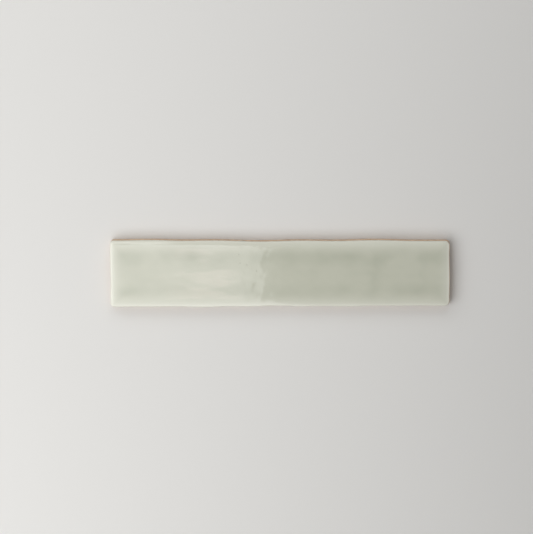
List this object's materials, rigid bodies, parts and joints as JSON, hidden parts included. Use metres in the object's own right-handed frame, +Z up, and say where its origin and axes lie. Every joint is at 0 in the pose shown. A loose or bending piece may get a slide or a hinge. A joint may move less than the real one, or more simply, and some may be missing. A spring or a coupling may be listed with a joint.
{
  "type": "handmade glazed wall tile",
  "caption": "Long, narrow handmade wall tile: terracotta body with bare wavy sides and a pillowed, undulating face in pale sage glaze, flat bed.",
  "frame": {"origin": "centre of the bed, on the surface that the tile lies on", "axes": "+X along the tile towards its narrower, blunter end, +Y across the tile, +Z up out of the glazed face"},
  "size_m": [0.2504, 0.0505, 0.01],
  "materials": {
    "glazed_terracotta": "glossy pale sage glaze on the face and arrises, bare matt terracotta on the sides and bed"
  },
  "bodies": {
    "root": {"tile": "glazed_terracotta"}
  },
  "joints": []
}
